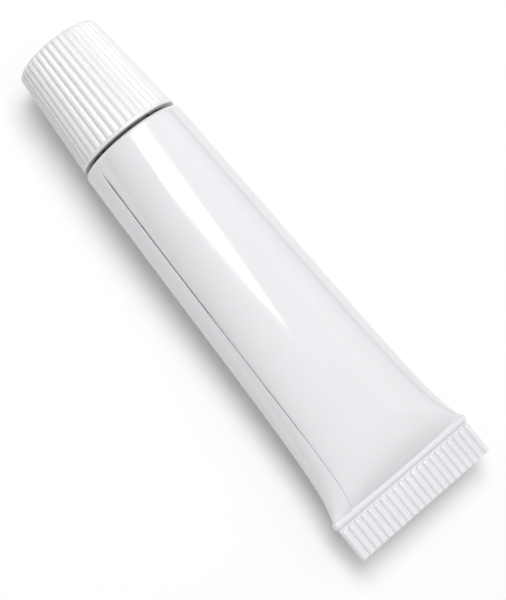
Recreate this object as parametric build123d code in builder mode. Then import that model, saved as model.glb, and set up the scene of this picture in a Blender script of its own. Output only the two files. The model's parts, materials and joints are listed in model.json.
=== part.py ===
"""A small laminate tube of silicone adhesive with a ribbed screw cap, lying as it comes to rest.

The sleeve is round at the shoulder and sealed flat at the tail. Its girth is the same all the way,
so it grows wider as it grows flatter. A lap seam runs along one side. The tail is pressed between
two jaws into one cross bar and a row of lengthwise ribs. A moulded head closes the other end, with
a neck that the cap screws on, a foil membrane over the outlet and a sealing disc inside the cap.

Everything is drawn on the tube's own axis: stations are counted from the shoulder's face, up
towards the cap and down towards the tail. The row frame has +X towards the cap, +Z up and its
origin under the middle of the tube, on the surface that it lies on. Millimetres.
"""

import math
import os

from build123d import *

# Sleeve, filled
sleeve_diameter = 19.0
sleeve_length = 68.15  # shoulder face to the middle of the crimp's cross bar
sleeve_wall = 0.3
straight_fall = 3.8  # loss of half height over the sleeve's length, in a straight line
belly_fall = 2.1  # further loss, most of it in the last third
belly_power = 7
pinch_power = 28  # how late the two walls close on the crimp
shoulder_rounding = 0.8
shoulder_lip = 1.1  # width of the sleeve's end around the head
contact_depth = 0.12  # how much of its underside is pressed flat by its own weight

# Lap seam
seam_height = 3.1  # girth from the tube's side up to the outer layer's free edge
seam_drift = 0.5  # added to that towards the crimp
seam_step = 0.25
seam_step_at_shoulder = 0.04  # pressed flat where the head is moulded in
seam_fade = 4.5  # length over which the step grows to its full height
seam_lap_turn = 21  # degrees over which the outer layer lies on the inner one
seam_ramp_turn = 24  # degrees over which it settles back below the lap

# Crimp
bar_radius = 0.8
bar_overhang = 0.4  # how far the bar stands out beyond the ribs, each side
rib_count = 21
rib_radius = 0.6
rib_gap = 0.15  # between the bar and the ribs' sloping ends
rib_slope = 0.45  # length of those ends
rib_end_radius = 0.3  # half thickness that is left at the very end
tail_length = 6.7  # middle of the bar to the cut edge

# Head
head_fit = 0.05  # round the head's disc, in the sleeve's end
head_disc = 1.5
shoulder_flat = 1.3  # width of the flat ring outside the shoulder's cone
shoulder_rise = 1.0  # height of the cone at the neck
neck_radius = 4.4
neck_height = 9.0
neck_edge = 0.3
outlet_radius = 2.4

# Foil and sealing disc
foil_margin = 0.2  # inside the neck's chamfer
foil_thickness = 0.12
liner_thickness = 1.0
liner_fit = 0.15  # round the disc, in the cap's bore
seal_clearance = 0.03  # above and below the disc

# Cap
cap_gap = 0.6  # shoulder face to the cap's mouth
cap_length = 18.9
cap_inset = 0.4  # the cap's mouth is this much smaller in radius than the sleeve
cap_narrowing = 1.45  # radius lost from the mouth to the end
cap_wall = 1.1  # under the grooves
cap_rib_count = 40
cap_rib_spacing = 0.09  # between neighbouring ribs where they are widest, at the mouth
cap_groove = 0.35
cap_band = 0.55
cap_band_step = 0.04
cap_band_edge = 0.15
cap_end_rounding = 1.0
cap_web = 1.4
thread_clearance = 0.45  # room for the threads between neck and cap
thread_tube_wall = 1.0
thread_tube_recess = 1.0  # from the cap's mouth up to the inner tube
recess_draft = 0.25
piercer_radius = 1.9
piercer_tip_radius = 0.3
piercer_recess = 1.3  # piercer's tip below the cap's end

# What follows from them
sleeve_radius = sleeve_diameter / 2
girth = math.pi * sleeve_diameter
crimp_thickness = 2 * sleeve_wall
crimp_width = girth / 2 - crimp_thickness * (math.pi / 2 - 1)
rib_pitch = (crimp_width - 2 * rib_radius) / (rib_count - 1)
rib_length = tail_length - bar_radius - rib_gap
tail_end = sleeve_length + tail_length
disc_radius = sleeve_radius - shoulder_lip - head_fit
bore_radius = neck_radius + thread_clearance
thread_tube_radius = bore_radius + thread_tube_wall
thread_tube_mouth = cap_gap + thread_tube_recess
liner_bottom = neck_height + foil_thickness + seal_clearance
web_bottom = liner_bottom + liner_thickness + seal_clearance
web_top = web_bottom + cap_web
cap_end = cap_gap + cap_length
cap_mouth_radius = sleeve_radius - cap_inset
cap_end_radius = cap_mouth_radius - cap_narrowing
end_scale = cap_end_radius / cap_mouth_radius

# How finely the sleeve, the crimp's ribs and the cap's ribs are drawn
ring_points = 60
lengthwise_shares = (0.0, 0.1, 0.3, 0.5, 0.66, 0.78, 0.86, 0.915, 0.95, 0.975, 1.0)
corner_angles = (0, 45, 90)
rib_sides = 12
cap_corner_angles = (0, 30, 60, 90)
cap_rib_facets = 4

# Bevel of the bar's ends, as a share of its radius
bar_end_share = 0.45

# Planes and axis of the tube, which lies on its straight underside
tilt = math.atan(straight_fall / sleeve_length)
crest_at_corner = cap_end_radius + cap_narrowing * cap_end_rounding / cap_length
corner_centre_radius = crest_at_corner - cap_end_rounding
front_reach = (
    (cap_end - cap_end_rounding) * math.cos(tilt)
    + corner_centre_radius * math.sin(tilt)
    + cap_end_rounding
)
tail_reach = tail_end * math.cos(tilt) + rib_radius * math.sin(tilt)
tube_direction = Vector(math.cos(tilt), 0, math.sin(tilt))
shoulder_height = sleeve_radius * math.cos(tilt) - contact_depth
shoulder_centre = Vector((tail_reach - front_reach) / 2, 0, shoulder_height)
tube_axis = Axis(shoulder_centre, tube_direction)
shoulder_plane = Plane(shoulder_centre, x_dir=(0, 1, 0), z_dir=tube_direction)
profile_plane = Plane(shoulder_centre, x_dir=(0, 1, 0), z_dir=(math.sin(tilt), 0, -math.cos(tilt)))
bar_plane = Plane(shoulder_plane.offset(-sleeve_length).origin, x_dir=tube_direction, z_dir=(0, 1, 0))


def half_height(station):
    """Half the sleeve's height at a station below the shoulder."""
    share = station / sleeve_length
    pinch_fall = sleeve_radius - sleeve_wall - straight_fall - belly_fall
    falls = straight_fall * share + belly_fall * share**belly_power + pinch_fall * share**pinch_power
    return sleeve_radius - falls


def half_width(height):
    """Half the sleeve's width at a half height, its girth being the same all along."""
    power = math.log(2) / math.log(math.pi / 2)  # exact for a circle and for a flat sleeve
    return ((girth / 4) ** power - height**power) ** (1 / power)


def seam_angle(station, width, height):
    """The ellipse's angle at the lap's free edge, from the girth that lies between it and the side."""
    walked = seam_height + seam_drift * station / sleeve_length
    spread = width**2 - height**2
    return math.acos(1 - walked**2 / (height**2 + math.sqrt(height**4 + spread * walked**2)))


def ease(share):
    """A smooth rise from 0 to 1."""
    share = min(max(share, 0.0), 1.0)
    return share * share * (3 - 2 * share)


def seam_rise(station):
    """Height of the lap's free edge at a station below the shoulder."""
    grown = ease((station - shoulder_rounding) / seam_fade)
    return seam_step_at_shoulder + (seam_step - seam_step_at_shoulder) * grown


def sleeve_outline(station, inset=0.0):
    """Points round the sleeve: from the lap's free edge, down its side and round to the seam."""
    height = half_height(station)
    width = half_width(height)
    points = []
    for count in range(ring_points + 1):
        turned = 360 * count / ring_points
        angle = seam_angle(station, width, height) - math.radians(turned)
        normal = Vector(height * math.cos(angle), width * math.sin(angle)).normalized()
        rise = seam_rise(station) * (1 - ease((turned - seam_lap_turn) / seam_ramp_turn))
        points.append(Vector(width * math.cos(angle), height * math.sin(angle)) + normal * (rise - inset))
    return points


def cap_outline(crest_radius, rib_scale):
    """Corners round the cap where its ribs' crests have this radius and their height is so scaled."""
    half_turn = math.pi / cap_rib_count
    rib_radius_at_mouth = (cap_mouth_radius * half_turn - cap_rib_spacing / 2) / (1 + half_turn)
    foot_turn = math.acos(1 - cap_groove / rib_radius_at_mouth)
    points = []
    for rib in range(cap_rib_count):
        for facet in range(cap_rib_facets + 1):
            rib_turn = foot_turn * (2 * facet / cap_rib_facets - 1)
            sunk = rib_radius_at_mouth * (1 - math.cos(rib_turn))
            aside = rib_radius_at_mouth * math.sin(rib_turn) / (cap_mouth_radius - sunk)
            angle = 2 * half_turn * rib + aside
            radius = crest_radius - sunk * rib_scale
            points.append((radius * math.cos(angle), radius * math.sin(angle)))
    return points


# Crimp's cross bar, bevelled at both ends
with BuildPart() as crimp_bar:
    with BuildSketch(bar_plane):
        Circle(bar_radius)
    extrude(amount=crimp_width / 2 + bar_overhang, both=True)
    chamfer(crimp_bar.edges().filter_by(GeomType.CIRCLE), length=bar_radius * bar_end_share)

# One crimp rib, sloping down at its end by the bar and cut off square at the tail
rib_top = bar_radius + rib_gap
with BuildPart() as crimp_rib:
    with BuildSketch(shoulder_plane.offset(-tail_end)):
        RegularPolygon(rib_radius, rib_sides)
    extrude(amount=rib_length)
    with BuildSketch(bar_plane):
        Polygon(
            (-tail_length, -rib_radius),
            (-rib_top - rib_slope, -rib_radius),
            (-rib_top, -rib_end_radius),
            (-rib_top, rib_end_radius),
            (-rib_top - rib_slope, rib_radius),
            (-tail_length, rib_radius),
            align=None,
        )
    extrude(amount=rib_radius, both=True, mode=Mode.INTERSECT)

# Sleeve: lofted body, rounded shoulder, crimp, the seat of the head and the flat that it lies on
with BuildPart() as sleeve:
    for share in lengthwise_shares:
        body_station = shoulder_rounding + (sleeve_length - shoulder_rounding) * share
        with BuildSketch(shoulder_plane.offset(-body_station)):
            Polygon(*sleeve_outline(body_station), align=None)
    loft()
    for degrees in corner_angles:
        corner_turn = math.radians(degrees)
        corner_inset = shoulder_rounding * (1 - math.cos(corner_turn))
        with BuildSketch(shoulder_plane.offset(shoulder_rounding * (math.sin(corner_turn) - 1))):
            Polygon(*sleeve_outline(shoulder_rounding, corner_inset), align=None)
    loft(ruled=True)
    with BuildSketch(shoulder_plane.offset(-tail_end)):
        Rectangle(crimp_width - rib_radius, crimp_thickness)
    extrude(amount=tail_length)
    add(crimp_bar.part)
    with GridLocations(0, rib_pitch, 1, rib_count):
        add(crimp_rib.part)
    with BuildSketch(shoulder_plane):
        Circle(sleeve_radius - shoulder_lip)
    extrude(amount=-head_disc, mode=Mode.SUBTRACT)
    split(bisect_by=Plane.XY)
sleeve.part.label = "sleeve"

# Head: disc in the sleeve's end, shallow cone and neck, with the outlet through them
with BuildPart() as head:
    with BuildSketch(profile_plane):
        with BuildLine():
            Polyline(
                (outlet_radius, -head_disc),
                (disc_radius, -head_disc),
                (disc_radius, 0),
                (disc_radius - shoulder_flat, 0),
                (neck_radius, shoulder_rise),
                (neck_radius, neck_height - neck_edge),
                (neck_radius - neck_edge, neck_height),
                (outlet_radius, neck_height),
                close=True,
            )
        make_face()
    revolve(axis=tube_axis)
head.part.label = "head"

# Foil membrane, welded on the neck's lip
with BuildPart() as foil_seal:
    with BuildSketch(shoulder_plane.offset(neck_height)):
        Circle(neck_radius - neck_edge - foil_margin)
    extrude(amount=foil_thickness)
foil_seal.part.label = "foil_seal"

# Sealing disc between the foil and the cap's web
with BuildPart() as cap_liner:
    with BuildSketch(shoulder_plane.offset(liner_bottom)):
        Circle(bore_radius - liner_fit)
    extrude(amount=liner_thickness)
cap_liner.part.label = "cap_liner"

# Cap: ribbed cone, hollowed from both ends, with the threaded tube and the piercer left standing
groove_floor_radius = cap_mouth_radius - cap_groove
skirt_mouth_radius = groove_floor_radius - cap_wall
recess_mouth_radius = groove_floor_radius * end_scale - cap_wall
web_share = (web_bottom - cap_gap) / cap_length
skirt_web_radius = skirt_mouth_radius + (recess_mouth_radius - skirt_mouth_radius) * web_share
cap_sections = [(cap_gap, cap_mouth_radius, 1.0)]
for degrees in cap_corner_angles:
    corner_turn = math.radians(degrees)
    cap_sections.append(
        (
            cap_end - cap_end_rounding * (1 - math.sin(corner_turn)),
            corner_centre_radius + cap_end_rounding * math.cos(corner_turn),
            math.cos(corner_turn) * crest_at_corner / cap_mouth_radius,
        )
    )
with BuildPart() as cap:
    for section in cap_sections:
        with BuildSketch(shoulder_plane.offset(section[0])):
            Polygon(*cap_outline(*section[1:]), align=None)
    loft(ruled=True)
    with BuildSketch(shoulder_plane.offset(cap_gap)):
        Circle(cap_mouth_radius + cap_band_step)
    extrude(amount=cap_band)
    with BuildSketch(profile_plane):
        with BuildLine():
            Polyline(
                (0, cap_gap),
                (skirt_mouth_radius, cap_gap),
                (skirt_web_radius, web_bottom),
                (thread_tube_radius, web_bottom),
                (thread_tube_radius, thread_tube_mouth),
                (bore_radius, thread_tube_mouth),
                (bore_radius, web_bottom),
                (0, web_bottom),
                close=True,
            )
        make_face()
    revolve(axis=tube_axis, mode=Mode.SUBTRACT)
    with BuildSketch(profile_plane):
        with BuildLine():
            Polyline(
                (piercer_radius, web_top),
                (recess_mouth_radius - recess_draft, web_top),
                (recess_mouth_radius, cap_end),
                (0, cap_end),
                (0, cap_end - piercer_recess),
                (piercer_tip_radius, cap_end - piercer_recess),
                close=True,
            )
        make_face()
    revolve(axis=tube_axis, mode=Mode.SUBTRACT)
    mouth_circles = cap.edges().filter_by(GeomType.CIRCLE).group_by(tube_axis)[0]
    chamfer(mouth_circles.sort_by(SortBy.RADIUS)[-1], length=cap_band_edge)
cap.part.label = "cap"

os.makedirs("parts", exist_ok=True)
for piece in (sleeve, head, foil_seal, cap_liner, cap):
    export_step(piece.part, f"parts/{piece.part.label}.step")
    print(piece.part.label, round(piece.part.volume, 1), "mm3")
print("screw axis through", [round(value, 4) for value in shoulder_centre])
print("towards", [round(value, 7) for value in tube_direction])
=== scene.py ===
"""Looks of a small laminate tube of adhesive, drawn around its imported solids.

The sleeve is one smooth skin with its lap seam, pressed shut in a ribbed crimp. The head, its neck
and the ribbed screw cap are turned from their own profiles, and both get their screw threads.
Everything is drawn on the tube's axis: X towards the cap from the shoulder's face, Y across the
sleeve and Z away from the surface that the tube lies on. Metres.
"""

import json
import math

import bmesh
import bpy
from bpy.props import FloatProperty, FloatVectorProperty, IntProperty, PointerProperty
from mathutils import Matrix, Vector


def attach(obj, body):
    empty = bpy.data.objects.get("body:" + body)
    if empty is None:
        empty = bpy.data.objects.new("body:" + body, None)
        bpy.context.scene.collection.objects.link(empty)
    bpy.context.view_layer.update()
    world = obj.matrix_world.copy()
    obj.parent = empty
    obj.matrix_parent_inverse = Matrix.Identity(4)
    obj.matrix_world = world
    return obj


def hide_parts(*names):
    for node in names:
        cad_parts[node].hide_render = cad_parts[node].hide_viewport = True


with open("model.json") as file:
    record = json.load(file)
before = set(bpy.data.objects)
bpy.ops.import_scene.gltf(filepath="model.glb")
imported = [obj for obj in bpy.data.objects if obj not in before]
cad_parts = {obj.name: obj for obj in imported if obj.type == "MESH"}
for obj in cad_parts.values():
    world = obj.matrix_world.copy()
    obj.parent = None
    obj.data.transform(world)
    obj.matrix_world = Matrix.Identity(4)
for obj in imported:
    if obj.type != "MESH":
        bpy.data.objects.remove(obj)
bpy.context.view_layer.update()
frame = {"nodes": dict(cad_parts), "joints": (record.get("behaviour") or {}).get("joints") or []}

bl_info = {
    "name": "Adhesive tube looks",
    "version": (1, 0, 0),
    "blender": (4, 5, 0),
    "location": "3D View > Sidebar > Adhesive Tube",
    "description": "Skin, crimp, ribbed cap, threads and finishes of a laminate tube of adhesive",
    "category": "Object",
}

SCREW = next(joint for joint in frame["joints"] if joint["name"] == "cap_turn")
SHOULDER = Vector(SCREW["pos_m"])
TOWARDS_CAP = Vector(SCREW["axis"]).normalized()
ACROSS = Vector((0, 1, 0))
UPWARDS = TOWARDS_CAP.cross(ACROSS)
TUBE_SPACE = Matrix.Translation(SHOULDER) @ Matrix((TOWARDS_CAP, ACROSS, UPWARDS)).transposed().to_4x4()

MM = 0.001

# Shares of the sleeve's rows at which its seat, its lip and the shoulder's corner end
SEAT_END = 0.015
LIP_END = 0.03
CORNER_END = 0.1

# Shares of the sleeve's columns at which the lap's edge, the body and the groove's parts end
EDGE_END = 0.04
BODY_END = 0.9
GROOVE_WALL_END = 0.96
GROOVE_END = 0.98

SMALL_EDGE = 0.12 * MM
FLOOR_HALF = 1.5
FILM_WIDTH = 36
SOFTBOX_PLACE = (0.15, -0.01, 0.5)
SOFTBOX_SIZE = (0.3, 0.4)
SOFTBOX_TURN = math.radians(-19)
FILL_PLACE = (-0.1, -0.6, 0.35)
FILL_SIZE = (0.5, 0.5)


def length(name, millimetres, description):
    """A size that the user can change, given in millimetres and kept in metres."""
    return FloatProperty(
        name=name,
        description=description,
        default=millimetres * MM,
        min=0,
        precision=5,
        unit="LENGTH",
    )


def angle(name, degrees, description):
    """A turn that the user can change."""
    return FloatProperty(name=name, description=description, default=math.radians(degrees), subtype="ANGLE")


def share(name, value, description):
    """A number between 0 and 1."""
    return FloatProperty(name=name, description=description, default=value, min=0, max=1)


def colour(name, value, description):
    """A colour in linear light."""
    return FloatVectorProperty(
        name=name, description=description, default=value, size=3, min=0, max=1, subtype="COLOR"
    )


class SleeveSizes(bpy.types.PropertyGroup):
    """Sizes of the sleeve's body, shoulder and lap seam."""

    diameter: length("Diameter", 19.0, "Sleeve's diameter at the shoulder")
    reach: length("Length", 68.15, "Shoulder's face to the middle of the crimp's bar")
    wall: length("Wall", 0.3, "Thickness of the laminate")
    straight_fall: length("Straight fall", 3.8, "Half height lost over the length, in a straight line")
    belly_fall: length("Belly fall", 2.1, "Further half height lost, most of it in the last third")
    belly_power: FloatProperty(name="Belly power", description="How late the belly falls", default=7)
    pinch_power: FloatProperty(name="Pinch power", description="How late the walls close", default=28)
    rounding: length("Shoulder rounding", 0.8, "Radius of the shoulder's edge")
    lip: length("Shoulder lip", 1.1, "Width of the sleeve's end around the head")
    seat: length("Head seat", 1.5, "Depth of the head's disc in the sleeve's end")
    seam_height: length("Seam height", 3.1, "From the tube's side up to the lap's free edge")
    seam_drift: length("Seam drift", 0.5, "Added to that towards the crimp")
    seam_step: length("Seam step", 0.25, "Height of the lap's free edge")
    seam_start: length("Seam start", 0.04, "Height of the free edge at the shoulder")
    seam_fade: length("Seam fade", 4.5, "Length over which the step grows")
    seam_edge: length("Seam edge", 0.05, "Rounding of the lap's free edge")
    groove_width: length("Groove width", 0.25, "Glue line beside the lap's free edge")
    groove_depth: length("Groove depth", 0.12, "Depth of that line")
    seam_lap: angle("Seam lap", 21, "Turn over which the outer layer lies on the inner one")
    seam_ramp: angle("Seam ramp", 24, "Turn over which it settles back below the lap")
    rows: IntProperty(name="Rows", description="Steps along the sleeve", default=230, min=8)
    columns: IntProperty(name="Columns", description="Steps round the sleeve", default=200, min=8)


class CrimpSizes(bpy.types.PropertyGroup):
    """Sizes of the bar, the ribs and the flat tail."""

    bar_radius: length("Bar radius", 0.8, "Half thickness of the bar across the tail")
    bar_overhang: length("Bar overhang", 0.4, "How far the bar stands out beyond the tail")
    rib_count: IntProperty(name="Ribs", description="Number of lengthwise ribs", default=21, min=2)
    rib_radius: length("Rib radius", 0.6, "Half thickness of a rib")
    rib_gap: length("Rib gap", 0.15, "Between the bar and the ribs' rounded ends")
    tail: length("Tail", 6.7, "Middle of the bar to the cut edge")
    plate: length("Plate", 0.3, "Thickness of the tail between its ribs")


class HeadSizes(bpy.types.PropertyGroup):
    """Sizes of the moulded head, its neck and its thread."""

    fit: length("Fit", 0.05, "Room around the head's disc")
    flat: length("Shoulder flat", 1.3, "Width of the flat ring outside the cone")
    rise: length("Shoulder rise", 1.0, "Height of the cone at the neck")
    neck_radius: length("Neck radius", 4.4, "Radius of the neck under its thread")
    neck_height: length("Neck height", 9.0, "Shoulder's face to the neck's lip")
    neck_edge: length("Neck edge", 0.3, "Bevel around the neck's lip")
    outlet_radius: length("Outlet radius", 2.4, "Radius of the outlet")
    thread_pitch: length("Thread pitch", 2.5, "Travel in one turn")
    thread_height: length("Thread height", 0.3, "How far the thread stands out")
    thread_width: length("Thread width", 0.75, "Width of the thread at its foot")
    thread_start: length("Thread start", 2.6, "First turn above the shoulder's face")
    thread_turns: FloatProperty(name="Thread turns", description="Turns on the neck", default=2.1)


class CapSizes(bpy.types.PropertyGroup):
    """Sizes of the ribbed screw cap."""

    gap: length("Gap", 0.6, "Shoulder's face to the cap's mouth")
    reach: length("Length", 18.9, "Mouth to the cap's end")
    inset: length("Inset", 0.4, "How much smaller the mouth's radius is than the sleeve's")
    narrowing: length("Narrowing", 1.45, "Radius lost from the mouth to the end")
    wall: length("Wall", 1.1, "Thickness under the grooves")
    rib_count: IntProperty(name="Ribs", description="Number of ribs", default=40, min=3)
    groove: length("Groove", 0.35, "Depth between the ribs")
    band: length("Band", 0.55, "Height of the plain ring at the mouth")
    band_step: length("Band step", 0.04, "How far the ring stands out from the ribs")
    band_edge: length("Band edge", 0.15, "Rounding of the ring's edge")
    end_rounding: length("End rounding", 1.0, "Radius where the ribs turn over the end")
    web: length("Web", 1.4, "Thickness of the wall across the cap")
    web_height: length("Web height", 10.18, "Shoulder's face to the web")
    bore_radius: length("Bore radius", 4.85, "Inside of the threaded tube")
    tube_wall: length("Tube wall", 1.0, "Wall of the threaded tube")
    tube_recess: length("Tube recess", 1.0, "From the mouth up to the threaded tube")
    recess_draft: length("Recess draft", 0.25, "Radius lost from the end's rim to the web")
    piercer_radius: length("Piercer radius", 1.9, "Foot of the piercer")
    piercer_tip: length("Piercer tip", 0.3, "Radius of the piercer's tip")
    piercer_recess: length("Piercer recess", 1.3, "Piercer's tip below the cap's end")
    thread_turns: FloatProperty(name="Thread turns", description="Turns inside the cap", default=1.7)


class Finishes(bpy.types.PropertyGroup):
    """Colours and gloss of what the tube is made of."""

    laminate: colour("Laminate", (0.76, 0.765, 0.785), "White printed laminate, left blank")
    laminate_roughness: share("Laminate roughness", 0.14, "Gloss of the laminate's outer film")
    laminate_wave: length("Laminate wave", 0.02, "Height of the film's slow waviness")
    cap: colour("Cap", (0.8, 0.8, 0.8), "White moulded plastic")
    cap_roughness: share("Cap roughness", 0.36, "Satin gloss of the cap")
    head: colour("Head", (0.76, 0.76, 0.73), "Natural white of the moulded head")
    foil: colour("Foil", (0.86, 0.86, 0.87), "Bare foil")
    liner: colour("Liner", (0.78, 0.78, 0.75), "Foamed sealing disc")


class StageSizes(bpy.types.PropertyGroup):
    """Camera, lamps and floor."""

    aim: FloatVectorProperty(
        name="Aim",
        description="Point that the camera looks at",
        default=(-4.824 * MM, 1.307 * MM, 8.0 * MM),
        size=3,
        precision=5,
        unit="LENGTH",
    )
    distance: length("Distance", 273.9, "Camera to the point it looks at")
    azimuth: angle("Azimuth", -164.083, "Camera's place round the tube")
    elevation: angle("Elevation", 63.315, "Camera's height above the horizon")
    roll: angle("Roll", 35.173, "Camera's turn about its own line of sight")
    lens: FloatProperty(name="Lens", description="Focal length on a 36 mm film", default=103.08)
    floor_colour: colour("Floor", (0.86, 0.86, 0.86), "Pale floor")
    floor_glow: share("Floor glow", 0.05, "Light that only the camera sees on the floor")
    sky_all: share("Even sky", 0.04, "Strength of the light from all round")
    sky_top: share("Top sky", 0.66, "Strength of the further light from overhead")
    sky_tail: share("Tail sky", 0.5, "Strength of the further light from beyond the crimp")
    softbox_power: FloatProperty(name="Softbox", description="Watts of the lamp overhead", default=1.66)
    fill_power: FloatProperty(name="Fill", description="Watts of the lamp on the window's side", default=0.32)


SETTINGS = {
    "tube_sleeve": SleeveSizes,
    "tube_crimp": CrimpSizes,
    "tube_head": HeadSizes,
    "tube_cap": CapSizes,
    "tube_finishes": Finishes,
    "tube_stage": StageSizes,
}


def settings(name):
    """One group of this file's settings, as the scene holds it."""
    return getattr(bpy.context.scene, name)


class Number:
    """A value in a node tree. Its arithmetic adds Math nodes."""

    def __init__(self, tree, socket):
        self.tree = tree
        self.socket = socket

    def math(self, operation, *others):
        node = self.tree.nodes.new("ShaderNodeMath")
        node.operation = operation
        for place, value in zip(node.inputs, (self, *others)):
            feed(self.tree, place, value)
        return Number(self.tree, node.outputs[0])

    def __add__(self, other):
        return self.math("ADD", other)

    __radd__ = __add__

    def __sub__(self, other):
        return self.math("SUBTRACT", other)

    def __rsub__(self, other):
        return (self * -1) + other

    def __mul__(self, other):
        return self.math("MULTIPLY", other)

    __rmul__ = __mul__

    def __truediv__(self, other):
        return self.math("DIVIDE", other)

    def __pow__(self, other):
        return self.math("POWER", other)

    def sin(self):
        return self.math("SINE")

    def cos(self):
        return self.math("COSINE")

    def root(self):
        return self.math("SQRT")

    def spread(self, start, end):
        """0 before start, 1 after end and a straight rise between them."""
        return clamped((self - start) / (end - start))


def clamped(value):
    """A value held between 0 and 1."""
    return value.math("MINIMUM", 1.0).math("MAXIMUM", 0.0)


def eased(value):
    """A smooth rise from 0 to 1."""
    held = clamped(value)
    return held * held * (3.0 - held * 2.0)


def feed(tree, place, value):
    """Sets a node's input, or links it where the value comes from another node."""
    if isinstance(value, Number):
        tree.links.new(value.socket, place)
    elif isinstance(value, bpy.types.NodeSocket):
        tree.links.new(value, place)
    else:
        place.default_value = value


def add_node(tree, kind, values=None, **options):
    """A new node with its options and inputs set, by the inputs' names or numbers."""
    node = tree.nodes.new(kind)
    for option, value in options.items():
        setattr(node, option, value)
    for place, value in (values or {}).items():
        feed(tree, node.inputs[place], value)
    return node


def joined(tree, *geometries):
    """Several geometries as one. The first link made to this input comes last, which changes nothing here."""
    node = tree.nodes.new("GeometryNodeJoinGeometry")
    for geometry in geometries:
        tree.links.new(geometry, node.inputs[0])
    return node.outputs[0]


def shape_tree(name, numbers):
    """A new geometry tree with the named inputs, and what its inside sees of them."""
    tree = bpy.data.node_groups.new(name, "GeometryNodeTree")
    tree.interface.new_socket("Geometry", in_out="INPUT", socket_type="NodeSocketGeometry")
    for title, value in numbers.items():
        kind = "NodeSocketInt" if isinstance(value, int) else "NodeSocketFloat"
        tree.interface.new_socket(title, in_out="INPUT", socket_type=kind)
    tree.interface.new_socket("Material", in_out="INPUT", socket_type="NodeSocketMaterial")
    tree.interface.new_socket("Geometry", in_out="OUTPUT", socket_type="NodeSocketGeometry")
    inside = tree.nodes.new("NodeGroupInput")
    given = {title: Number(tree, inside.outputs[title]) for title in numbers}
    given["Geometry"] = inside.outputs["Geometry"]
    given["Material"] = inside.outputs["Material"]
    return tree, given


def finish_tree(tree, given, geometry):
    """Ends a geometry tree: instances made real, shaded smooth and given their material."""
    real = add_node(tree, "GeometryNodeRealizeInstances", {"Geometry": geometry})
    smooth = add_node(tree, "GeometryNodeSetShadeSmooth", {"Geometry": real.outputs[0]})
    painted = add_node(
        tree, "GeometryNodeSetMaterial", {"Geometry": smooth.outputs[0], "Material": given["Material"]}
    )
    out = tree.nodes.new("NodeGroupOutput")
    tree.links.new(painted.outputs[0], out.inputs["Geometry"])


def placed(tree, geometry, x, y, z):
    """A geometry with every point moved to a new place."""
    place = add_node(tree, "ShaderNodeCombineXYZ", {"X": x, "Y": y, "Z": z})
    moved = add_node(tree, "GeometryNodeSetPosition", {"Geometry": geometry, "Position": place.outputs[0]})
    return moved.outputs[0]


def unit_grid(tree, rows, columns):
    """A grid with both its counts as inputs, and each point's share of the way along and across."""
    grid = add_node(
        tree,
        "GeometryNodeMeshGrid",
        {"Size X": 1.0, "Size Y": 1.0, "Vertices X": rows, "Vertices Y": columns},
    )
    place = add_node(
        tree, "ShaderNodeSeparateXYZ", {"Vector": tree.nodes.new("GeometryNodeInputPosition").outputs[0]}
    )
    return grid.outputs["Mesh"], Number(tree, place.outputs[0]) + 0.5, Number(tree, place.outputs[1]) + 0.5


def made_from(tree, name, numbers, material, start=None):
    """The plain mesh object that a geometry tree makes, in the tube's place."""
    piece = bpy.data.objects.new(name, start or bpy.data.meshes.new(name))
    bpy.context.scene.collection.objects.link(piece)
    modifier = piece.modifiers.new("Shape", "NODES")
    modifier.node_group = tree
    for item in tree.interface.items_tree:
        if item.in_out == "INPUT" and item.name in numbers:
            modifier[item.identifier] = numbers[item.name]
        if item.in_out == "INPUT" and item.name == "Material":
            modifier[item.identifier] = material
    bpy.context.view_layer.update()
    graph = bpy.context.evaluated_depsgraph_get()
    finished = bpy.data.meshes.new_from_object(piece.evaluated_get(graph), depsgraph=graph)
    piece.modifiers.remove(modifier)
    piece.data = finished
    return piece


def closed_and_turned_out(mesh, merge=0.004 * MM, sharp=38):
    """Merges doubles, closes what is open, points the faces outwards and keeps hard edges hard."""
    form = bmesh.new()
    form.from_mesh(mesh)
    bmesh.ops.remove_doubles(form, verts=form.verts, dist=merge)
    bmesh.ops.dissolve_degenerate(form, edges=form.edges, dist=merge / 10)
    bmesh.ops.holes_fill(form, edges=[edge for edge in form.edges if edge.is_boundary], sides=0)
    bmesh.ops.recalc_face_normals(form, faces=form.faces)
    form.to_mesh(mesh)
    form.free()
    mesh.polygons.foreach_set("use_smooth", [True] * len(mesh.polygons))
    mesh.set_sharp_from_angle(angle=math.radians(sharp))


def settled(piece, body, slot, *nodes):
    """Puts a finished piece in the tube's place, on its body and in place of its solids."""
    piece.data.transform(TUBE_SPACE)
    for vertex in piece.data.vertices:
        vertex.co.z = max(vertex.co.z, 0)
    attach(piece, body)
    if nodes:
        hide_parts(*nodes)
    return piece


def new_group(name, inputs, outputs):
    """A shader group with named sockets, and its inside's inputs."""
    tree = bpy.data.node_groups.new(name, "ShaderNodeTree")
    for title, value in inputs.items():
        socket = tree.interface.new_socket(title, in_out="INPUT", socket_type="NodeSocketFloat")
        socket.default_value = value
    for title in outputs:
        tree.interface.new_socket(title, in_out="OUTPUT", socket_type="NodeSocketFloat")
    inside = tree.nodes.new("NodeGroupInput")
    return tree, {title: Number(tree, inside.outputs[title]) for title in inputs}


def noise(tree, place, scale, detail=2.0):
    """Noise about 0.5 at so many features to the metre."""
    node = add_node(tree, "ShaderNodeTexNoise", {"Vector": place, "Scale": scale, "Detail": detail})
    return Number(tree, node.outputs["Fac"])


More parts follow.
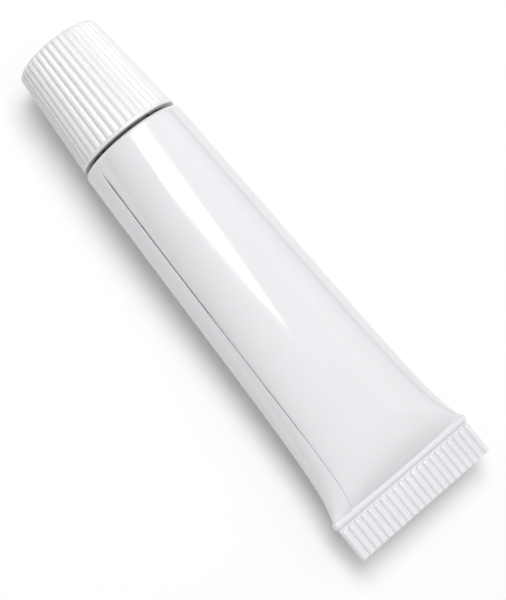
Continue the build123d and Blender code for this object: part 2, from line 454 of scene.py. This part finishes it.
def film_group():
    """Slow waviness of a laminate over its filling, and the fine ripple of its outer film."""
    tree, given = new_group(
        "laminate film",
        {"Wave scale": 60.0, "Ripple scale": 900.0, "Ripple share": 0.03},
        ("Height", "Cloud"),
    )
    place = tree.nodes.new("ShaderNodeTexCoord").outputs["Object"]
    wave = noise(tree, place, given["Wave scale"])
    ripple = noise(tree, place, given["Ripple scale"])
    out = tree.nodes.new("NodeGroupOutput")
    feed(tree, out.inputs["Height"], wave + ripple * given["Ripple share"])
    feed(tree, out.inputs["Cloud"], noise(tree, place, given["Wave scale"] * 3.0))
    return tree


def moulding_group():
    """Fine grain of a moulded surface with its faint flow clouds."""
    tree, given = new_group(
        "moulding grain", {"Grain scale": 3500.0, "Flow scale": 220.0, "Flow share": 0.4}, ("Height", "Cloud")
    )
    place = tree.nodes.new("ShaderNodeTexCoord").outputs["Object"]
    grain = noise(tree, place, given["Grain scale"], 3.0)
    flow = noise(tree, place, given["Flow scale"])
    out = tree.nodes.new("NodeGroupOutput")
    feed(tree, out.inputs["Height"], grain + flow * given["Flow share"])
    feed(tree, out.inputs["Cloud"], flow)
    return tree


def shared_group(name, make):
    """A shader group that is built once and used by several materials."""
    return bpy.data.node_groups.get(name) or make()


def finish(name, group, tint, roughness, height, tint_spread=0.02, roughness_spread=0.05, **sockets):
    """A material whose colour, roughness and bump vary as its group says."""
    material = bpy.data.materials.new(name)
    material.use_nodes = True
    tree = material.node_tree
    shader = next(node for node in tree.nodes if node.type == "BSDF_PRINCIPLED")
    for place, value in sockets.items():
        shader.inputs[place.replace("_", " ")].default_value = value
    surface = add_node(tree, "ShaderNodeGroup", node_tree=group)
    cloud = Number(tree, surface.outputs["Cloud"])
    paint = add_node(tree, "ShaderNodeMix", {"Factor": clamped(cloud)}, data_type="RGBA")
    paint.inputs[6].default_value = (*[channel * (1 - tint_spread) for channel in tint], 1)
    paint.inputs[7].default_value = (*[min(channel * (1 + tint_spread), 1) for channel in tint], 1)
    tree.links.new(paint.outputs[2], shader.inputs["Base Color"])
    smoothest = roughness - roughness_spread
    feed(tree, shader.inputs["Roughness"], clamped(cloud * (2 * roughness_spread) + smoothest))
    bump = add_node(tree, "ShaderNodeBump", {"Height": surface.outputs["Height"], "Distance": height})
    tree.links.new(bump.outputs[0], shader.inputs["Normal"])
    return material


def laminate_finish():
    """Glossy white laminate."""
    looks = settings("tube_finishes")
    return bpy.data.materials.get("white_laminate") or finish(
        "white_laminate",
        shared_group("laminate film", film_group),
        looks.laminate,
        looks.laminate_roughness,
        looks.laminate_wave,
        IOR=1.5,
        Coat_Weight=0.6,
        Coat_Roughness=0.05,
    )


def plastic_finish(name, tint, roughness, height):
    """Moulded plastic that lets a little light in."""
    return bpy.data.materials.get(name) or finish(
        name,
        shared_group("moulding grain", moulding_group),
        tint,
        roughness,
        height,
        IOR=1.49,
        Subsurface_Weight=0.15,
        Subsurface_Scale=0.6 * MM,
    )


def head_finish():
    """The moulded head's and its thread's plastic."""
    return plastic_finish("natural_plastic", settings("tube_finishes").head, 0.42, 0.006 * MM)


def cap_finish():
    """The cap's and its thread's plastic."""
    looks = settings("tube_finishes")
    return plastic_finish("cap_plastic_white", looks.cap, looks.cap_roughness, 0.008 * MM)


def foil_finish():
    """Bare aluminium foil, faintly crumpled by its weld."""
    return bpy.data.materials.get("bare_foil") or finish(
        "bare_foil",
        shared_group("laminate film", film_group),
        settings("tube_finishes").foil,
        0.3,
        0.06 * MM,
        roughness_spread=0.08,
        Metallic=1.0,
    )


def half_height_rule(given, along):
    """Half the sleeve's height at a share of its length, as the sleeve's solid has it."""
    closed = given["Radius"] - given["Wall"]
    pinch = closed - given["Straight fall"] - given["Belly fall"]
    return (
        given["Radius"]
        - given["Straight fall"] * along
        - given["Belly fall"] * along ** given["Belly power"]
        - pinch * along ** given["Pinch power"]
    )


def half_width_rule(given, height):
    """Half the sleeve's width at that half height, its girth being the same all along."""
    power = math.log(2) / math.log(math.pi / 2)
    quarter = given["Radius"] * (math.pi / 2)
    return (quarter**power - height**power) ** (1 / power)


def seam_angle_rule(given, width, height, along):
    """The ellipse's angle at the lap's free edge, a set height above the tube's side."""
    rise = (given["Seam height"] + given["Seam drift"] * along) ** 2.0
    square = height**2.0
    spread = width**2.0 - square
    drop = rise / (square + (square**2.0 + spread * rise).root())
    return (1.0 - drop).math("ARCCOSINE")


def sleeve_skin(tree, given):
    """The sleeve from the head's seat, over the shoulder and down to the crimp, as one grid.

    Its two long edges lie one over the other at the seam and don't meet, so closed_and_turned_out
    closes it with one face of many sides. Look at the seam again after a change of the groove.
    """
    grid, along, across = unit_grid(tree, given["Rows"], given["Columns"])
    seat = along.spread(0.0, SEAT_END)
    lip = along.spread(SEAT_END, LIP_END)
    corner = along.spread(LIP_END, CORNER_END) * (math.pi / 2)
    body = 1.0 - (1.0 - along.spread(CORNER_END, 1.0)) ** 1.5
    rounding = given["Rounding"]
    inset = (1.0 - lip) * (given["Lip"] - rounding) + rounding * (1.0 - corner.sin())
    below = rounding + (given["Length"] - rounding) * body
    station = (1.0 - seat) * given["Seat"] + rounding * (1.0 - corner.cos()) + (below - rounding)

    height = half_height_rule(given, below / given["Length"])
    width = half_width_rule(given, height)
    grown = eased((below - rounding) / given["Seam fade"])
    step = given["Seam start"] + (given["Seam step"] - given["Seam start"]) * grown
    soft_edge = given["Seam edge"].math("MINIMUM", step * 0.5)
    edge = across.spread(0.0, EDGE_END) * math.pi
    edge_turn = soft_edge / given["Radius"] * (1.0 - edge.sin())
    groove_turn = given["Groove width"] / given["Radius"]
    turned = (
        edge_turn
        + (2 * math.pi - groove_turn) * across.spread(EDGE_END, BODY_END)
        + groove_turn * 1.5 * across.spread(BODY_END, GROOVE_END)
    )
    around = seam_angle_rule(given, width, height, below / given["Length"]) - turned

    fall = 1.0 - eased((turned - given["Seam lap"]) / given["Seam ramp"])
    lip_rise = step - soft_edge * (1.0 + edge.cos())
    sunk = given["Groove depth"] * grown * eased(across.spread(BODY_END, GROOVE_WALL_END))
    closing = across.spread(GROOVE_END, 1.0)
    rise = lip_rise * fall - sunk * (1.0 - closing) + (step - soft_edge * 2.0) * closing
    away = rise - inset

    side = around.cos()
    top = around.sin()
    lean = ((height * side) ** 2.0 + (width * top) ** 2.0).root()
    y = side * (width + away * height / lean)
    z = top * (height + away * width / lean)
    return placed(tree, grid, station * -1.0, y, z)


def crimp_geometry(tree, given):
    """The bar, the flat tail and its row of ribs."""
    wide = given["Tail width"]
    bar_half = wide * 0.5 + given["Bar overhang"]
    bar = capsule(tree, bar_half * 2.0, given["Bar radius"], 48, 28, both_ends=True)
    bar = turned_piece(tree, bar, (0, 0, math.pi / 2))
    bar = shifted(tree, bar, given["Length"] * -1.0, bar_half * -1.0)

    plate_profile = add_node(
        tree, "GeometryNodeCurvePrimitiveQuadrilateral", {"Width": wide, "Height": given["Plate"]}
    )
    plate_round = add_node(
        tree,
        "GeometryNodeFilletCurve",
        {"Curve": plate_profile.outputs[0], "Count": 5, "Radius": given["Plate"] * 0.45},
        mode="POLY",
    )
    plate_end = add_node(tree, "ShaderNodeCombineXYZ", {"X": given["Tail"] * -1.0})
    plate_line = add_node(tree, "GeometryNodeCurvePrimitiveLine", {"End": plate_end.outputs[0]})
    plate = add_node(
        tree,
        "GeometryNodeCurveToMesh",
        {"Curve": plate_line.outputs[0], "Profile Curve": plate_round.outputs[0], "Fill Caps": True},
    ).outputs[0]
    plate = shifted(tree, plate, given["Length"] * -1.0, 0.0)

    rib_length = given["Tail"] - given["Bar radius"] - given["Rib gap"]
    rib = capsule(tree, rib_length, given["Rib radius"], 22, 20, both_ends=False)
    pitch = (wide - given["Rib radius"] * 2.0) / (given["Ribs"] - 1.0)
    step = add_node(tree, "ShaderNodeCombineXYZ", {"Y": pitch})
    first = add_node(
        tree,
        "ShaderNodeCombineXYZ",
        {"X": (given["Length"] + given["Tail"]) * -1.0, "Y": wide * -0.5 + given["Rib radius"]},
    )
    row = add_node(
        tree,
        "GeometryNodeMeshLine",
        {"Count": given["Ribs"], "Start Location": first.outputs[0], "Offset": step.outputs[0]},
    )
    ribs = add_node(
        tree, "GeometryNodeInstanceOnPoints", {"Points": row.outputs[0], "Instance": rib}
    ).outputs[0]
    return joined(tree, bar, plate, ribs)


def capsule(tree, reach, radius, rows, columns, both_ends):
    """A rod along X from 0, rounded at its far end or at both."""
    grid, along, across = unit_grid(tree, rows, columns)
    angle_round = across * (2 * math.pi)
    half = radius / reach
    near = along.spread(0.0, 0.25) * (math.pi / 2) if both_ends else None
    far = along.spread(0.7, 1.0) * (math.pi / 2)
    middle = along.spread(0.25, 0.7) if both_ends else along.spread(0.0, 0.7)
    if both_ends:
        x = reach * (half * (1.0 - near.cos()) + (1.0 - half * 2.0) * middle + half * far.sin())
        thick = radius * near.sin() * far.cos()
    else:
        x = reach * ((1.0 - half) * middle + half * far.sin())
        thick = radius * far.cos()
    return placed(tree, grid, x, thick * angle_round.cos(), thick * angle_round.sin())


def turned_piece(tree, geometry, turn):
    """A geometry turned about the origin."""
    return add_node(tree, "GeometryNodeTransform", {"Geometry": geometry, "Rotation": turn}).outputs[0]


def shifted(tree, geometry, x, y):
    """A geometry moved along X and Y."""
    way = add_node(tree, "ShaderNodeCombineXYZ", {"X": x, "Y": y})
    return add_node(
        tree, "GeometryNodeTransform", {"Geometry": geometry, "Translation": way.outputs[0]}
    ).outputs[0]


def sleeve_numbers():
    """The sleeve tree's inputs, from the settings."""
    sleeve = settings("tube_sleeve")
    crimp = settings("tube_crimp")
    folded = 2 * sleeve.wall * (math.pi / 2 - 1)
    return {
        "Radius": sleeve.diameter / 2,
        "Length": sleeve.reach,
        "Wall": sleeve.wall,
        "Straight fall": sleeve.straight_fall,
        "Belly fall": sleeve.belly_fall,
        "Belly power": sleeve.belly_power,
        "Pinch power": sleeve.pinch_power,
        "Rounding": sleeve.rounding,
        "Lip": sleeve.lip,
        "Seat": sleeve.seat,
        "Seam height": sleeve.seam_height,
        "Seam drift": sleeve.seam_drift,
        "Seam step": sleeve.seam_step,
        "Seam start": sleeve.seam_start,
        "Seam fade": sleeve.seam_fade,
        "Seam edge": sleeve.seam_edge,
        "Groove width": sleeve.groove_width,
        "Groove depth": sleeve.groove_depth,
        "Seam lap": sleeve.seam_lap,
        "Seam ramp": sleeve.seam_ramp,
        "Rows": sleeve.rows,
        "Columns": sleeve.columns,
        "Bar radius": crimp.bar_radius,
        "Bar overhang": crimp.bar_overhang,
        "Ribs": crimp.rib_count,
        "Rib radius": crimp.rib_radius,
        "Rib gap": crimp.rib_gap,
        "Tail": crimp.tail,
        "Plate": crimp.plate,
        "Tail width": math.pi * sleeve.diameter / 2 - folded,
    }


class ADHESIVE_TUBE_OT_sleeve(bpy.types.Operator):
    """Draw the sleeve with its seam and crimp"""

    bl_idname = "adhesive_tube.sleeve"
    bl_label = "Sleeve"

    def execute(self, context):
        numbers = sleeve_numbers()
        tree, given = shape_tree("sleeve", numbers)
        finish_tree(tree, given, joined(tree, sleeve_skin(tree, given), crimp_geometry(tree, given)))
        piece = made_from(tree, "sleeve_skin", numbers, laminate_finish())
        closed_and_turned_out(piece.data)
        settled(piece, "tube", "sleeve_laminate", "sleeve")
        return {"FINISHED"}


def revolved(name, profile, columns, material):
    """A closed piece turned from its profile of (station, radius, rib) points, round the tube's axis."""
    mesh = bpy.data.meshes.new(name)
    points = []
    faces = []
    count = len(profile)
    for column in range(columns):
        turn = 2 * math.pi * column / columns
        for station, radius, _ in profile:
            points.append((station, radius * math.cos(turn), radius * math.sin(turn)))
    for column in range(columns):
        here = column * count
        there = (column + 1) % columns * count
        for step in range(count):
            following = (step + 1) % count
            faces.append((here + step, there + step, there + following, here + following))
    mesh.from_pydata(points, [], faces)
    amount = mesh.attributes.new("rib", "FLOAT", "POINT")
    amount.data.foreach_set("value", [rib for _ in range(columns) for _, _, rib in profile])
    mesh.materials.append(material)
    return mesh


def softened(corners, steps=4):
    """A closed profile with its corners rounded. A corner is (station, radius, rounding, rib)."""
    points = []
    for place, (station, radius, rounding, rib) in enumerate(corners):
        corner = Vector((station, radius))
        before = Vector(corners[place - 1][:2]) - corner
        after = Vector(corners[(place + 1) % len(corners)][:2]) - corner
        if rounding <= 0:
            points.append((station, radius, rib))
            continue
        turn = before.angle(after)
        reach = min(rounding / math.tan(turn / 2), before.length * 0.49, after.length * 0.49)
        start = corner + before.normalized() * reach
        end = corner + after.normalized() * reach
        for step in range(steps + 1):
            part = step / steps
            bent = start * (1 - part) ** 2 + corner * (2 * part * (1 - part)) + end * part**2
            points.append((bent.x, bent.y, rib))
    return points


def divided(profile, longest):
    """A closed profile with its long stretches divided, so that ribs can follow them."""
    points = []
    for place, start in enumerate(profile):
        end = profile[(place + 1) % len(profile)]
        span = math.dist(start[:2], end[:2])
        parts = max(1, math.ceil(span / longest))
        for step in range(parts):
            part = step / parts
            points.append(tuple(a + (b - a) * part for a, b in zip(start, end)))
    return points


def head_profile():
    """Half section of the head: disc, cone and neck around the outlet."""
    sleeve = settings("tube_sleeve")
    head = settings("tube_head")
    disc = sleeve.diameter / 2 - sleeve.lip - head.fit
    return softened(
        [
            (-sleeve.seat, head.outlet_radius, 0, 0),
            (-sleeve.seat, disc, 0, 0),
            (0, disc, SMALL_EDGE, 0),
            (0, disc - head.flat, 2 * SMALL_EDGE, 0),
            (head.rise, head.neck_radius, 3 * SMALL_EDGE, 0),
            (head.neck_height - head.neck_edge, head.neck_radius, SMALL_EDGE, 0),
            (head.neck_height, head.neck_radius - head.neck_edge, SMALL_EDGE, 0),
            (head.neck_height, head.outlet_radius, SMALL_EDGE, 0),
        ]
    )


class ADHESIVE_TUBE_OT_head(bpy.types.Operator):
    """Turn the moulded head and its neck"""

    bl_idname = "adhesive_tube.head"
    bl_label = "Head"

    def execute(self, context):
        mesh = revolved("head_moulding", head_profile(), 160, head_finish())
        piece = bpy.data.objects.new("head_moulding", mesh)
        context.scene.collection.objects.link(piece)
        closed_and_turned_out(mesh)
        settled(piece, "tube", "head_plastic", "head")
        return {"FINISHED"}


def cap_profile():
    """Half section of the cap, from its mouth over the ribs and end and back through its inside."""
    sleeve = settings("tube_sleeve")
    cap = settings("tube_cap")
    mouth = sleeve.diameter / 2 - cap.inset
    end = mouth - cap.narrowing
    top = cap.gap + cap.reach
    shrink = end / mouth
    floor = mouth - cap.groove
    skirt = floor - cap.wall
    rim = floor * shrink - cap.wall
    web_share = (cap.web_height - cap.gap) / cap.reach
    skirt_web = skirt + (rim - skirt) * web_share
    tube_radius = cap.bore_radius + cap.tube_wall
    tube_mouth = cap.gap + cap.tube_recess
    web_top = cap.web_height + cap.web
    band_top = cap.gap + cap.band
    corner = top - cap.end_rounding
    crest_at_corner = end + cap.narrowing * cap.end_rounding / cap.reach
    outside = [
        (cap.gap, mouth + cap.band_step, cap.band_edge, 0),
        (band_top, mouth + cap.band_step, cap.band_step, 0),
    ]
    rounding = []
    for step in range(9):
        turn = math.radians(90 * step / 8)
        rounding.append(
            (
                corner + cap.end_rounding * math.sin(turn),
                crest_at_corner - cap.end_rounding * (1 - math.cos(turn)),
                0,
                math.cos(turn),
            )
        )
    inside = [
        (top, rim, SMALL_EDGE, 0),
        (web_top, rim - cap.recess_draft, 3 * SMALL_EDGE, 0),
        (web_top, cap.piercer_radius, 2 * SMALL_EDGE, 0),
        (top - cap.piercer_recess, cap.piercer_tip, SMALL_EDGE, 0),
        (top - cap.piercer_recess, 0.01 * MM, 0, 0),
        (cap.web_height, 0.01 * MM, 0, 0),
        (cap.web_height, cap.bore_radius, SMALL_EDGE, 0),
        (tube_mouth, cap.bore_radius, SMALL_EDGE, 0),
        (tube_mouth, tube_radius, SMALL_EDGE, 0),
        (cap.web_height, tube_radius, 2 * SMALL_EDGE, 0),
        (cap.web_height, skirt_web, 2 * SMALL_EDGE, 0),
        (cap.gap, skirt, SMALL_EDGE, 0),
    ]
    ribbed = [(band_top + 0.02 * MM, mouth, 0, 1)]
    return divided(softened(outside + ribbed + rounding + inside), 1.5 * MM)


def rib_tree(numbers):
    """Sinks rounded grooves into a turned piece wherever its points say that it is ribbed."""
    tree, given = shape_tree("ribs", numbers)
    place = tree.nodes.new("GeometryNodeInputPosition")
    parts = add_node(tree, "ShaderNodeSeparateXYZ", {"Vector": place.outputs[0]})
    x, y, z = (Number(tree, output) for output in parts.outputs)
    amount = add_node(tree, "GeometryNodeInputNamedAttribute", {"Name": "rib"}, data_type="FLOAT")
    amount = Number(tree, amount.outputs["Attribute"])
    around = z.math("ARCTAN2", y)
    radius = (y * y + z * z).root()
    crest = (around * (given["Ribs"] * 0.5)).sin().math("ABSOLUTE")
    depth = given["Groove"] * amount * (1.0 - crest)
    kept = 1.0 - depth / radius
    geometry = placed(tree, given["Geometry"], x, y * kept, z * kept)
    finish_tree(tree, given, geometry)
    return tree


class ADHESIVE_TUBE_OT_cap(bpy.types.Operator):
    """Turn the screw cap and sink its grooves"""

    bl_idname = "adhesive_tube.cap"
    bl_label = "Cap"

    def execute(self, context):
        cap = settings("tube_cap")
        material = cap_finish()
        plain = revolved("cap_blank", cap_profile(), cap.rib_count * 12, material)
        numbers = {"Ribs": cap.rib_count, "Groove": cap.groove}
        piece = made_from(rib_tree(numbers), "cap_moulding", numbers, material, start=plain)
        closed_and_turned_out(piece.data, merge=0.012 * MM)
        settled(piece, "cap", "cap_plastic", "cap")
        return {"FINISHED"}


def thread_tree(numbers):
    """A screw thread round X, tapering away at both ends."""
    tree, given = shape_tree("screw thread", numbers)
    helix = add_node(
        tree,
        "GeometryNodeCurveSpiral",
        {
            "Resolution": 72,
            "Rotations": given["Turns"],
            "Start Radius": given["Radius"],
            "End Radius": given["Radius"],
            "Height": given["Turns"] * given["Pitch"],
        },
    )
    along = Number(tree, tree.nodes.new("GeometryNodeSplineParameter").outputs["Factor"])
    taper = eased(along.spread(0.0, 0.08)) * eased((1.0 - along).spread(0.0, 0.08))
    tapered = add_node(
        tree, "GeometryNodeSetCurveRadius", {"Curve": helix.outputs[0], "Radius": taper * 0.98 + 0.02}
    )
    ridge = add_node(
        tree, "GeometryNodeCurvePrimitiveCircle", {"Resolution": 16, "Radius": 1.0}, mode="RADIUS"
    )
    scale = add_node(
        tree,
        "ShaderNodeCombineXYZ",
        {"X": given["Height"], "Y": given["Width"] * 0.5, "Z": 1.0},
    )
    profile = add_node(
        tree, "GeometryNodeTransform", {"Geometry": ridge.outputs[0], "Scale": scale.outputs[0]}
    )
    solid = add_node(
        tree,
        "GeometryNodeCurveToMesh",
        {"Curve": tapered.outputs[0], "Profile Curve": profile.outputs[0], "Fill Caps": True},
    )
    laid = add_node(
        tree, "GeometryNodeTransform", {"Geometry": solid.outputs[0], "Rotation": (0.0, math.pi / 2, 0.0)}
    )
    finish_tree(tree, given, shifted(tree, laid.outputs[0], given["Start"], 0.0))
    return tree


def thread(name, radius, start, turns, body, slot, material):
    """One screw thread on its body."""
    head = settings("tube_head")
    numbers = {
        "Radius": radius,
        "Pitch": head.thread_pitch,
        "Turns": turns,
        "Start": start,
        "Height": head.thread_height,
        "Width": head.thread_width,
    }
    piece = made_from(thread_tree(numbers), name, numbers, material)
    closed_and_turned_out(piece.data)
    return settled(piece, body, slot)


class ADHESIVE_TUBE_OT_threads(bpy.types.Operator):
    """Wind the threads on the neck and inside the cap"""

    bl_idname = "adhesive_tube.threads"
    bl_label = "Threads"

    def execute(self, context):
        head = settings("tube_head")
        cap = settings("tube_cap")
        thread(
            "neck_thread",
            head.neck_radius,
            head.thread_start,
            head.thread_turns,
            "tube",
            "head_plastic",
            head_finish(),
        )
        thread(
            "cap_thread",
            cap.bore_radius,
            head.thread_start + head.thread_pitch / 2,
            cap.thread_turns,
            "cap",
            "cap_plastic",
            cap_finish(),
        )
        return {"FINISHED"}


class ADHESIVE_TUBE_OT_seals(bpy.types.Operator):
    """Give the foil and the sealing disc their finishes"""

    bl_idname = "adhesive_tube.seals"
    bl_label = "Seals"

    def execute(self, context):
        looks = settings("tube_finishes")
        dress("foil_seal", foil_finish())
        dress("cap_liner", plastic_finish("liner_foam_white", looks.liner, 0.75, 0.02 * MM))
        return {"FINISHED"}


def dress(node, material):
    """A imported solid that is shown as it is, with its finish."""
    solid = frame["nodes"][node]
    solid.data.materials.clear()
    solid.data.materials.append(material)


def floor_material():
    """Pale floor that keeps its shadow and shows near white."""
    stage = settings("tube_stage")
    material = bpy.data.materials.new("pale_floor")
    material.use_nodes = True
    tree = material.node_tree
    tree.nodes.clear()
    matt = add_node(tree, "ShaderNodeBsdfDiffuse", {"Color": (*stage.floor_colour, 1)})
    light_path = tree.nodes.new("ShaderNodeLightPath")
    seen = Number(tree, light_path.outputs["Is Camera Ray"])
    glow = add_node(tree, "ShaderNodeEmission", {"Strength": seen * stage.floor_glow})
    both = tree.nodes.new("ShaderNodeAddShader")
    tree.links.new(matt.outputs[0], both.inputs[0])
    tree.links.new(glow.outputs[0], both.inputs[1])
    out = tree.nodes.new("ShaderNodeOutputMaterial")
    tree.links.new(both.outputs[0], out.inputs["Surface"])
    return material


def add_floor():
    """A wide flat floor under the tube."""
    mesh = bpy.data.meshes.new("floor")
    corners = [(-1, -1), (1, -1), (1, 1), (-1, 1)]
    mesh.from_pydata([(x * FLOOR_HALF, y * FLOOR_HALF, 0) for x, y in corners], [], [(0, 1, 2, 3)])
    mesh.materials.append(floor_material())
    floor = bpy.data.objects.new("floor", mesh)
    bpy.context.scene.collection.objects.link(floor)


def add_lamp(name, place, size, power, turn=0.0):
    """A soft rectangular lamp at a place, facing the tube."""
    lamp = bpy.data.lights.new(name, "AREA")
    lamp.shape = "RECTANGLE"
    lamp.size, lamp.size_y = size
    lamp.energy = power
    holder = bpy.data.objects.new(name, lamp)
    away = Vector(place) - Vector(settings("tube_stage").aim)
    holder.matrix_world = (
        Matrix.Translation(place)
        @ away.to_track_quat("Z", "Y").to_matrix().to_4x4()
        @ Matrix.Rotation(turn, 4, "Z")
    )
    bpy.context.scene.collection.objects.link(holder)


def add_sky():
    """Light from all round, brighter overhead and beyond the crimp."""
    stage = settings("tube_stage")
    world = bpy.data.worlds.new("soft_sky")
    world.use_nodes = True
    tree = world.node_tree
    background = next(node for node in tree.nodes if node.type == "BACKGROUND")
    ray = tree.nodes.new("ShaderNodeNewGeometry").outputs["Incoming"]
    parts = add_node(tree, "ShaderNodeSeparateXYZ", {"Vector": ray})
    overhead = (Number(tree, parts.outputs["Z"]) * -1.0).math("MAXIMUM", 0.0)
    beyond = Number(tree, parts.outputs["X"]).math("MAXIMUM", 0.0)
    feed(
        tree,
        background.inputs["Strength"],
        overhead * stage.sky_top + beyond * stage.sky_tail + stage.sky_all,
    )
    background.inputs["Color"].default_value = (1, 1, 1, 1)
    bpy.context.scene.world = world


def add_camera():
    """The camera at the photograph's angle."""
    stage = settings("tube_stage")
    out = math.cos(stage.elevation)
    back = Vector(
        (math.sin(stage.azimuth) * out, -math.cos(stage.azimuth) * out, math.sin(stage.elevation))
    )
    lens = bpy.data.cameras.new("camera")
    lens.lens = stage.lens
    lens.sensor_width = FILM_WIDTH
    lens.clip_start = 0.01
    lens.clip_end = 10
    camera = bpy.data.objects.new("camera", lens)
    camera.matrix_world = (
        Matrix.Translation(Vector(stage.aim) + back * stage.distance)
        @ back.to_track_quat("Z", "Y").to_matrix().to_4x4()
        @ Matrix.Rotation(stage.roll, 4, "Z")
    )
    bpy.context.scene.collection.objects.link(camera)
    bpy.context.scene.camera = camera


class ADHESIVE_TUBE_OT_stage(bpy.types.Operator):
    """Set the floor, the lamps and the camera"""

    bl_idname = "adhesive_tube.stage"
    bl_label = "Stage"

    def execute(self, context):
        stage = settings("tube_stage")
        context.scene.view_settings.view_transform = "Standard"
        add_sky()
        add_floor()
        add_camera()
        add_lamp("softbox", SOFTBOX_PLACE, SOFTBOX_SIZE, stage.softbox_power, SOFTBOX_TURN)
        add_lamp("fill", FILL_PLACE, FILL_SIZE, stage.fill_power)
        return {"FINISHED"}


OPERATORS = (
    ADHESIVE_TUBE_OT_sleeve,
    ADHESIVE_TUBE_OT_head,
    ADHESIVE_TUBE_OT_threads,
    ADHESIVE_TUBE_OT_seals,
    ADHESIVE_TUBE_OT_cap,
    ADHESIVE_TUBE_OT_stage,
)


class ADHESIVE_TUBE_PT_panel(bpy.types.Panel):
    """Lists the tube's pieces and sizes"""

    bl_label = "Adhesive Tube"
    bl_idname = "ADHESIVE_TUBE_PT_panel"
    bl_space_type = "VIEW_3D"
    bl_region_type = "UI"
    bl_category = "Adhesive Tube"

    def draw(self, context):
        for operator in OPERATORS:
            self.layout.operator(operator.bl_idname)
        for name, group in SETTINGS.items():
            box = self.layout.box()
            box.label(text=name.replace("_", " "))
            for title in group.__annotations__:
                box.prop(getattr(context.scene, name), title)


CLASSES = (*SETTINGS.values(), *OPERATORS, ADHESIVE_TUBE_PT_panel)


def register():
    """Adds the settings, the operators and the panel."""
    for entry in CLASSES:
        bpy.utils.register_class(entry)
    for name, group in SETTINGS.items():
        setattr(bpy.types.Scene, name, PointerProperty(type=group))


def unregister():
    """Takes them away again."""
    for name in SETTINGS:
        delattr(bpy.types.Scene, name)
    for entry in reversed(CLASSES):
        bpy.utils.unregister_class(entry)


def main():
    """Draws every piece in order."""
    register()
    for operator in OPERATORS:
        group, action = operator.bl_idname.split(".")
        getattr(getattr(bpy.ops, group), action)()


if __name__ == "__main__":
    main()
